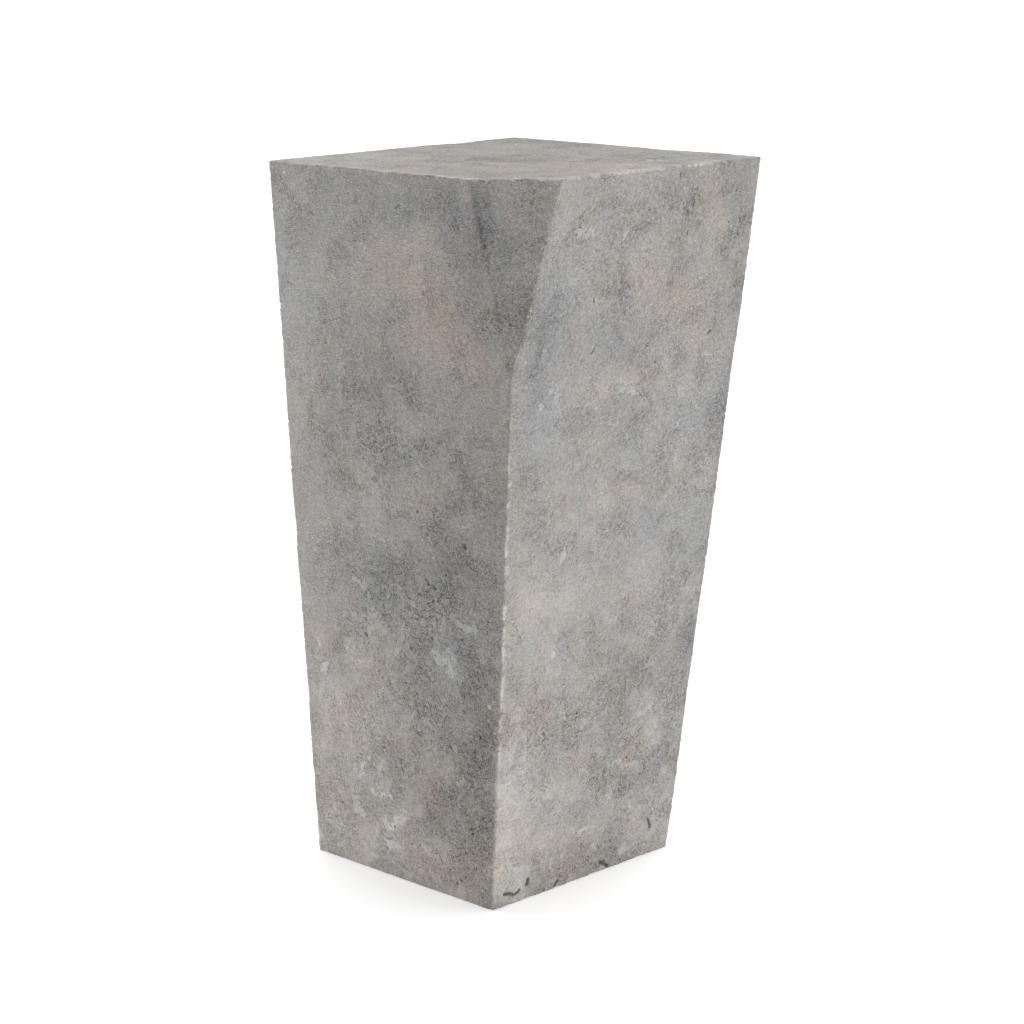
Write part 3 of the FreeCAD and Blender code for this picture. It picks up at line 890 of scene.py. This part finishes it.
def make_coat():
    """The coat as one closed shell, with what the material needs to know at each point."""
    pits = read_marks(PITS)
    cracks = read_marks(CRACKS)
    flecks = rows_of(CHALK) + rows_of(RUST)
    marks = [(line, half_width) for line, half_width, _ in pits + cracks]
    marks += [(Line(face, [place]), half_width * MM) for face, place, half_width in flecks]
    mesh = Mesh()
    for face in faces.values():
        fill_face(mesh, face, marks)
    outer_count = len(mesh.points)
    close_shell(mesh)
    points = np.array(mesh.points)

    outer = points[:outer_count]
    pit_depth, pit_share = sink(outer, pits, edge=0.5 * MM)
    crack_depth, crack_share = sink(outer, cracks, edge=0.45 * MM)
    unbroken = rise(wander(outer, 5 * MM, 2, 23), -0.1, 0.35)
    crack_depth, crack_share = crack_depth * unbroken, crack_share * unbroken
    softness = arris_softness(outer)
    tone, warmth = patch_values(outer)
    relief = trowel_relief(outer) - np.maximum(pit_depth, crack_depth)
    # outer is a part of points, so from here on it holds the moved points too
    points[:outer_count] = rounded(outer, relief, softness)

    lift = rim_height(points) * rise(points[:, 2], FOOT + RIM_BLEND, FOOT)
    lift[outer_count:] *= INNER_LIFT
    at_foot = np.array(mesh.points)[:, 2] < FOOT + 0.01 * MM
    points[at_foot, 2] = FOOT
    points[:, 2] += lift

    values = {
        "tone": tone,
        "warmth": warmth,
        "smear": smear_values(outer),
        # painted shade in the pits and cracks, which are also sunk into the mesh
        "pit_shade": np.maximum(pit_share, CRACK_SHADE * crack_share),
        "rubbed": rubbed_values(outer),
        "eroded": eroded_values(outer),
        "chalk": fleck_values(outer, CHALK),
        "rust": fleck_values(outer, RUST),
    }
    data = bpy.data.meshes.new("cement_coat")
    data.from_pydata(points.tolist(), [], mesh.polygons)
    data.validate()
    for name, value in values.items():
        whole = np.zeros(len(points))
        whole[:outer_count] = value
        layer = data.attributes.new(name, "FLOAT", "POINT")
        layer.data.foreach_set("value", whole.astype(np.float32))
    smooth = np.ones(len(data.polygons), bool)
    smooth[-len(FACES):] = False
    data.polygons.foreach_set("use_smooth", smooth)
    data.update()
    return add_object("cement_coat", data)


# ---- materials

NOISE_MIDDLE = 0.5  # the middle of what a noise gives


class Shader:
    """A short way to add nodes to one material and join them."""

    def __init__(self, name, roughness, specular=0.3, metallic=0.0):
        self.material = bpy.data.materials.new(name)
        self.material.use_nodes = True
        self.tree = self.material.node_tree
        self.surface = self.tree.nodes["Principled BSDF"]
        self.surface.inputs["Roughness"].default_value = roughness
        self.surface.inputs["Specular IOR Level"].default_value = specular
        self.surface.inputs["Metallic"].default_value = metallic
        self.place = self.add("ShaderNodeTexCoord").outputs["Object"]

    def add(self, kind, inputs=(), **settings):
        """A new node of this kind, with its inputs joined."""
        node = self.tree.nodes.new(kind)
        for name, value in settings.items():
            setattr(node, name, value)
        for name, value in dict(inputs).items():
            self.join(value, node.inputs[name])
        return node

    def join(self, value, socket):
        """Links a node's output to a socket, or sets the socket to a plain value."""
        if isinstance(value, bpy.types.NodeSocket):
            self.tree.links.new(value, socket)
        else:
            socket.default_value = value

    def attribute(self, name):
        """A value that the mesh holds at each point."""
        return self.add("ShaderNodeAttribute", attribute_name=name).outputs["Fac"]

    def stretched(self, factors, turn=(0, 0, 0)):
        """A place for textures to be stretched along their own axes, which turn by these degrees."""
        angles = tuple(math.radians(angle) for angle in turn)
        inputs = {"Vector": self.place, "Rotation": angles, "Scale": factors}
        return self.add("ShaderNodeMapping", inputs, vector_type="TEXTURE").outputs["Vector"]

    def noise(self, size, detail=3.0, rough=0.5, place=None, shift=0.0):
        """Noise from 0 to 1, about 0.5, whose lumps are about size across."""
        inputs = {
            "Vector": place or self.place,
            "W": shift,
            "Scale": 1 / size,
            "Detail": detail,
            "Roughness": rough,
        }
        return self.add("ShaderNodeTexNoise", inputs, noise_dimensions="4D").outputs["Fac"]

    def cells(self, size, place=None):
        """The distance to the middle of the nearest random cell, and that cell's own number."""
        inputs = {"Vector": place or self.place, "Scale": 1 / size}
        node = self.add("ShaderNodeTexVoronoi", inputs)
        number = self.add("ShaderNodeSeparateColor", {"Color": node.outputs["Color"]})
        return node.outputs["Distance"], number.outputs["Red"]

    def squiggles(self, size, width, share, place=None, shift=0.0):
        """Short winding lines: 1 on a line and 0 between. Width is in the noise's own range."""
        field = self.noise(size, 1, 0.5, place, shift)
        away = self.math("ABSOLUTE", self.math("SUBTRACT", field, NOISE_MIDDLE))
        broken = self.noise(size, 1, 0.5, place, shift + 0.5)
        return self.times(self.rise(away, width, 0.0), self.rise(broken, share, share + 0.05))

    def math(self, operation, *values):
        """The result of one math node."""
        node = self.add("ShaderNodeMath", operation=operation)
        for value, socket in zip(values, node.inputs):
            self.join(value, socket)
        return node.outputs[0]

    def sum(self, *terms):
        """A constant, then pairs of a value and its weight, added up."""
        total, *pairs = terms
        for value, weight in pairs:
            total = self.math("MULTIPLY_ADD", value, weight, total)
        return total

    def times(self, first, second):
        """Two values multiplied."""
        return self.math("MULTIPLY", first, second)

    def rise(self, value, low, high):
        """0 at low and 1 at high, smooth between."""
        inputs = {"Value": value, "From Min": low, "From Max": high}
        node = self.add("ShaderNodeMapRange", inputs, interpolation_type="SMOOTHSTEP")
        return node.outputs["Result"]

    def mix(self, share, first, second):
        """From the first colour to the second."""
        node = self.add("ShaderNodeMix", data_type="RGBA")
        colours = [s for s in node.inputs if s.type == "RGBA"]
        self.join(share, node.inputs[0])
        self.join(first, colours[0])
        self.join(second, colours[1])
        return next(s for s in node.outputs if s.type == "RGBA")

    def shade(self, colour, tone):
        """The colour made lighter or darker by a factor."""
        node = self.add("ShaderNodeVectorMath", operation="SCALE")
        self.join(colour, node.inputs[0])
        self.join(tone, node.inputs["Scale"])
        return node.outputs["Vector"]

    def finish(self, colour, height, depth, roughness=None):
        """Ends the material with its colour and a bump of that depth."""
        inputs = {"Height": height, "Distance": depth}
        bump = self.add("ShaderNodeBump", inputs)
        self.join(bump.outputs["Normal"], self.surface.inputs["Normal"])
        self.join(colour, self.surface.inputs["Base Color"])
        if roughness is not None:
            self.join(roughness, self.surface.inputs["Roughness"])
        return self.material


# the colours of the cement, as linear red, green and blue
COOL_VIOLET = (0.358, 0.357, 0.366, 1)
WARM_VIOLET = (0.414, 0.361, 0.324, 1)
COOL_GREEN = (0.358, 0.370, 0.366, 1)
WARM_GREEN = (0.414, 0.374, 0.324, 1)
SMEAR_GREY = (0.385, 0.388, 0.382, 1)
# the colour of the painted shade in pits and cracks
PIT_SHADE_DARK = (0.060, 0.058, 0.048, 1)
RUBBED_PALE = (0.70, 0.69, 0.66, 1)
CHALK_WHITE = (0.66, 0.65, 0.62, 1)
RUST_BROWN = (0.52, 0.30, 0.14, 1)


def cement_material():
    """Grey cement in warm and cool clouds, with rough and smooth patches, pale smears, and pores and
    pits darkened with painted shade.
    """
    s = Shader("trowelled_cement", roughness=0.85, specular=0.25)
    leaning = s.stretched((1, 1, 1.5), (0, 38, 135))
    cloud = s.noise(80 * MM, 4, 0.55)
    mottle = s.noise(20 * MM, 5, 0.65, shift=1.7)
    flake = s.rise(s.noise(17 * MM, 6, 0.60, shift=8.1), 0.55, 0.60)
    scab = s.rise(s.noise(6 * MM, 4, 0.6, leaning, 27), 0.61, 0.66)
    stipple = s.noise(4.0 * MM, 3, 0.6, leaning, 3.1)
    grain = s.noise(1.2 * MM, 2, 0.6, shift=5.3)
    eroded = s.attribute("eroded")
    openness = s.noise(50 * MM, 4, 0.55, shift=12.2)
    patchy = s.sum(-0.05, (openness, 1.0), (mottle, -0.2), (flake, -0.05), (eroded, 0.13))
    rough = s.rise(patchy, 0.30, 0.52)

    edges = s.noise(12 * MM, 6, 0.66, shift=15)
    smear = s.rise(s.sum(s.attribute("smear"), (edges, 4.0), (grain, 2.0), (stipple, 1.4)), 3.80, 4.45)
    left_smooth = s.times(flake, s.sum(0.25, (eroded, 0.75)))
    calm = s.sum(1.0, (smear, -0.6), (left_smooth, -0.35), (eroded, 0.10))

    worms = s.squiggles(3.4 * MM, 0.06, 0.42, leaning, 31)
    ridges = s.squiggles(3.8 * MM, 0.06, 0.45, leaning, 33)
    slits = s.squiggles(6.5 * MM, 0.035, 0.52, s.stretched((1.3, 1.3, 0.8)), 37)
    pore_gap, pore_number = s.cells(3.6 * MM, leaning)
    pore_size = s.sum(-0.36, (pore_number, 0.44), (rough, 0.20))
    pore = s.rise(s.sum(pore_size, (pore_gap, -1.0)), -0.04, 0.04)
    crumb_gap, crumb_number = s.cells(3.2 * MM)
    crumb_size = s.sum(-0.36, (crumb_number, 0.52))
    crumb = s.rise(s.sum(crumb_size, (crumb_gap, -1.0)), -0.06, 0.06)
    hole_gap, hole_number = s.cells(8.0 * MM, leaning)
    hole_size = s.sum(-0.38, (hole_number, 0.40), (eroded, 0.12), (rough, 0.06), (stipple, 0.05))
    hole = s.rise(s.sum(hole_size, (hole_gap, -1.0)), -0.02, 0.04)
    open_slits = s.times(slits, s.sum(0.18, (eroded, 0.28)))
    # painted shade: worms, slits, pores and holes darken the colour where fine relief would lie in
    # shade
    pore_shade = s.sum(0.0, (worms, 0.22), (open_slits, 1.0), (pore, 0.30), (hole, 0.50))

    fine = s.sum(-NOISE_MIDDLE * (1.1 + 2.2) - 0.04, (stipple, 1.1), (grain, 2.2), (ridges, 0.16))
    grit = s.times(s.times(fine, calm), s.sum(0.80, (rough, 0.38)))
    # the painted shade of the pores, stronger where the coat is rough; it also lowers the bump
    dark = s.times(s.times(pore_shade, calm), s.sum(0.44, (rough, 0.62)))
    tone = s.sum(
        1.035 - NOISE_MIDDLE * (0.55 + 0.34),
        (cloud, 0.55),
        (mottle, 0.34),
        (grit, 1.0),
        # the patch tone, which includes painted light along the foot
        (s.attribute("tone"), 1.0),
        (dark, -1.0),
        (left_smooth, 0.07),
        (eroded, 0.035),
        (scab, 0.05),
        (crumb, 0.12),
        (smear, 0.08),
    )
    tint = s.noise(45 * MM, 6, 0.68, shift=9.4)
    tint_grain = s.noise(4.0 * MM, 3, 0.7, shift=22)
    balance = -NOISE_MIDDLE * (2.3 + 1.8)
    tinted = s.sum(balance, (tint, 2.3), (tint_grain, 1.8), (s.attribute("warmth"), 0.75))
    warm = s.rise(tinted, -0.90, 1.0)
    green = s.rise(s.noise(26 * MM, 6, 0.7, shift=44), 0.36, 0.62)
    violet_side = s.mix(warm, COOL_VIOLET, WARM_VIOLET)
    green_side = s.mix(warm, COOL_GREEN, WARM_GREEN)
    colour = s.mix(green, violet_side, green_side)
    colour = s.mix(s.times(smear, 0.60), colour, SMEAR_GREY)
    colour = s.shade(colour, tone)
    # painted shade in the pits and cracks
    colour = s.mix(s.times(s.attribute("pit_shade"), 0.72), colour, PIT_SHADE_DARK)
    worn = s.times(s.attribute("rubbed"), s.rise(s.noise(2.6 * MM, 3, 0.6, shift=51), 0.34, 0.54))
    colour = s.mix(s.times(worn, 0.9), colour, RUBBED_PALE)
    colour = s.mix(s.times(s.attribute("chalk"), 0.8), colour, CHALK_WHITE)
    colour = s.mix(s.times(s.attribute("rust"), 0.6), colour, RUST_BROWN)
    height = s.sum(0.0, (grit, 1.0), (dark, -1.8), (smear, 0.25), (mottle, 0.8), (flake, 0.15))
    return s.finish(colour, height, 1.4 * MM, s.sum(0.95, (smear, -0.12), (mottle, -0.1)))


def fibreboard_material():
    """Brown board of pressed wood fibre, with fine fibres and broader clumps."""
    s = Shader("fibreboard", roughness=0.8)
    fibres = s.noise(1.2 * MM, 4, 0.7)
    clumps = s.noise(14 * MM, 4, 0.55, shift=2.0)
    tone = s.sum(0.55, (fibres, 0.5), (clumps, 0.4))
    colour = s.mix(s.noise(40 * MM, 3, shift=4.0), (0.30, 0.175, 0.095, 1), (0.36, 0.235, 0.140, 1))
    return s.finish(s.shade(colour, tone), fibres, 0.25 * MM)


def softwood_material(axis):
    """Planed pine with its grain along one axis: 0, 1 or 2 for X, Y or Z."""
    s = Shader(f"softwood_{'xyz'[axis]}", roughness=0.6)
    along = [1.0, 1.0, 1.0]
    along[axis] = 25.0
    place = s.stretched(along)
    rings = s.noise(6 * MM, 2, 0.4, place)
    bands = s.rise(s.math("SINE", s.times(rings, 40.0)), -1.0, 1.0)
    fibres = s.noise(0.7 * MM, 3, 0.6, place, 3.0)
    colour = s.mix(bands, (0.62, 0.42, 0.235, 1), (0.47, 0.275, 0.125, 1))
    return s.finish(s.shade(colour, s.sum(0.8, (fibres, 0.4))), fibres, 0.15 * MM)


def metal_material(name, dark, light, roughness):
    """Plated metal with a faint mottle and fine scratches."""
    s = Shader(name, roughness=roughness, specular=0.5, metallic=1.0)
    mottle = s.noise(3 * MM, 4, 0.6)
    scratches = s.noise(0.5 * MM, 2, 0.5, s.stretched((8, 1, 1)))
    colour = s.mix(mottle, dark, light)
    return s.finish(colour, scratches, 0.04 * MM, s.sum(roughness - 0.1, (scratches, 0.2)))


def nylon_material():
    """Off-white moulded nylon, scuffed a little darker in places."""
    s = Shader("nylon", roughness=0.45, specular=0.4)
    scuffs = s.rise(s.noise(5 * MM, 5, 0.65), 0.5, 0.75)
    colour = s.mix(s.times(scuffs, 0.5), (0.72, 0.71, 0.67, 1), (0.45, 0.43, 0.39, 1))
    return s.finish(colour, s.noise(0.6 * MM, 2), 0.06 * MM, s.sum(0.4, (scuffs, 0.25)))


def long_axis(node):
    """The axis along which a part is longest."""
    low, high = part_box(node)
    return max(range(3), key=lambda axis: high[axis] - low[axis])


def paint(node, material):
    """Gives one CAD part its only material."""
    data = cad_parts[node].data
    data.materials.clear()
    data.materials.append(material)


def paint_frame():
    """Gives every carried-over CAD part its material."""
    fibreboard = fibreboard_material()
    softwood = [softwood_material(axis) for axis in range(3)]
    steel = metal_material("screw_steel", (0.42, 0.38, 0.25, 1), (0.62, 0.57, 0.40, 1), 0.35)
    zinc = metal_material("zinc", (0.50, 0.51, 0.53, 1), (0.70, 0.71, 0.73, 1), 0.38)
    nylon = nylon_material()
    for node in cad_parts:
        if node.endswith("_panel") or node == "mid_brace":
            paint(node, fibreboard)
        elif node.endswith("_screws"):
            paint(node, steel)
        elif node.startswith(("tee_nut", "glide_stud")):
            paint(node, zinc)
        elif node.startswith("glide_pad"):
            paint(node, nylon)
        else:
            paint(node, softwood[long_axis(node)])


# ---- floor, lights and camera


def matt_piece(name, points, polygons, grey, glow):
    """A matt thing that stands around the object and glows by itself."""
    data = bpy.data.meshes.new(name)
    data.from_pydata(points, [], polygons)
    s = Shader(name, roughness=0.9, specular=0.0)
    s.surface.inputs["Base Color"].default_value = (grey, grey, grey, 1)
    s.surface.inputs["Emission Color"].default_value = (1, 1, 1, 1)
    s.surface.inputs["Emission Strength"].default_value = glow
    data.materials.append(s.material)
    return add_object(name, data)


def make_floor():
    """A wide pale floor that runs past the edges of every view."""
    half = 60.0
    square = [(-half, -half, 0), (half, -half, 0), (half, half, 0), (-half, half, 0)]
    floor = matt_piece("floor", square, [(0, 1, 2, 3)], grey=0.80, glow=0.38)


def make_backdrop():
    """A white screen all round, far off, which the camera sees in the views from low down.

    It throws no light and no shadow, so it changes nothing on the object.
    """
    radius, height, sides = 50.0, 25.0, 48
    ring = [(2 * math.pi * step / sides) for step in range(sides)]
    low = [(radius * math.cos(angle), radius * math.sin(angle), 0.0) for angle in ring]
    high = [(x, y, height) for x, y, _ in low]
    walls = [(i, i + sides, (i + 1) % sides + sides, (i + 1) % sides) for i in range(sides)]
    backdrop = matt_piece("backdrop", low + high, walls, grey=0.0, glow=1.0)
    backdrop.visible_diffuse = False
    backdrop.visible_glossy = False
    backdrop.visible_shadow = False


def soft_light(name, place, target, width, height, power):
    """A rectangular soft light that faces its target."""
    data = bpy.data.lights.new(name, "AREA")
    data.shape = "RECTANGLE"
    data.size = width
    data.size_y = height
    data.energy = power
    light = add_object(name, data)
    light.location = place
    light.rotation_euler = (Vector(target) - Vector(place)).to_track_quat("-Z", "Y").to_euler()


def wide_sun(name, away, degrees, power):
    """Light from a wide patch of sky, which falls alike on the object and on the whole floor."""
    data = bpy.data.lights.new(name, "SUN")
    data.angle = math.radians(degrees)
    data.energy = power
    light = add_object(name, data)
    light.rotation_euler = Vector(away).to_track_quat("Z", "Y").to_euler()


def make_lights():
    """White surroundings, a light overhead, and softer ones towards the right and the front."""
    world = bpy.data.worlds.new("studio")
    world.use_nodes = True
    background = world.node_tree.nodes["Background"]
    background.inputs["Color"].default_value = (1, 1, 1, 1)
    background.inputs["Strength"].default_value = 0.22
    bpy.context.scene.world = world
    wide_sun("overhead", away=(-0.25, 0.35, 1.0), degrees=75, power=3.7)
    soft_light("right_side", (2.4, 0.9, 0.9), (0.1, 0, 0.40), width=1.4, height=1.4, power=21)
    soft_light("front_side", (-1.15, -0.85, 0.45), (-0.25, -0.2, 0.35), width=0.5, height=0.9, power=4)


CAMERA_PLACE = (2.4159, -2.45555, 1.2383)
CAMERA_TURN = {"heading": 44.66, "pitch": 12.757, "roll": -0.429}
CAMERA_LENS = 95.98
FILM_WIDTH = 36


def make_camera():
    """The camera stands off the facet, a little above the top."""
    heading, pitch, roll = (math.radians(CAMERA_TURN[name]) for name in ("heading", "pitch", "roll"))
    data = bpy.data.cameras.new("camera")
    data.sensor_width = FILM_WIDTH
    data.lens = CAMERA_LENS
    data.clip_end = 200
    camera = add_object("camera", data)
    turn = (
        Matrix.Rotation(heading, 4, "Z")
        @ Matrix.Rotation(math.pi / 2 - pitch, 4, "X")
        @ Matrix.Rotation(roll, 4, "Z")
    )
    camera.matrix_world = Matrix.Translation(CAMERA_PLACE) @ turn
    bpy.context.scene.camera = camera


coat = make_coat()
coat.data.materials.append(cement_material())
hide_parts("cement_skin")
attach(coat, "root")
paint_frame()
make_floor()
make_backdrop()
make_lights()
make_camera()
bpy.context.scene.view_settings.view_transform = "Standard"
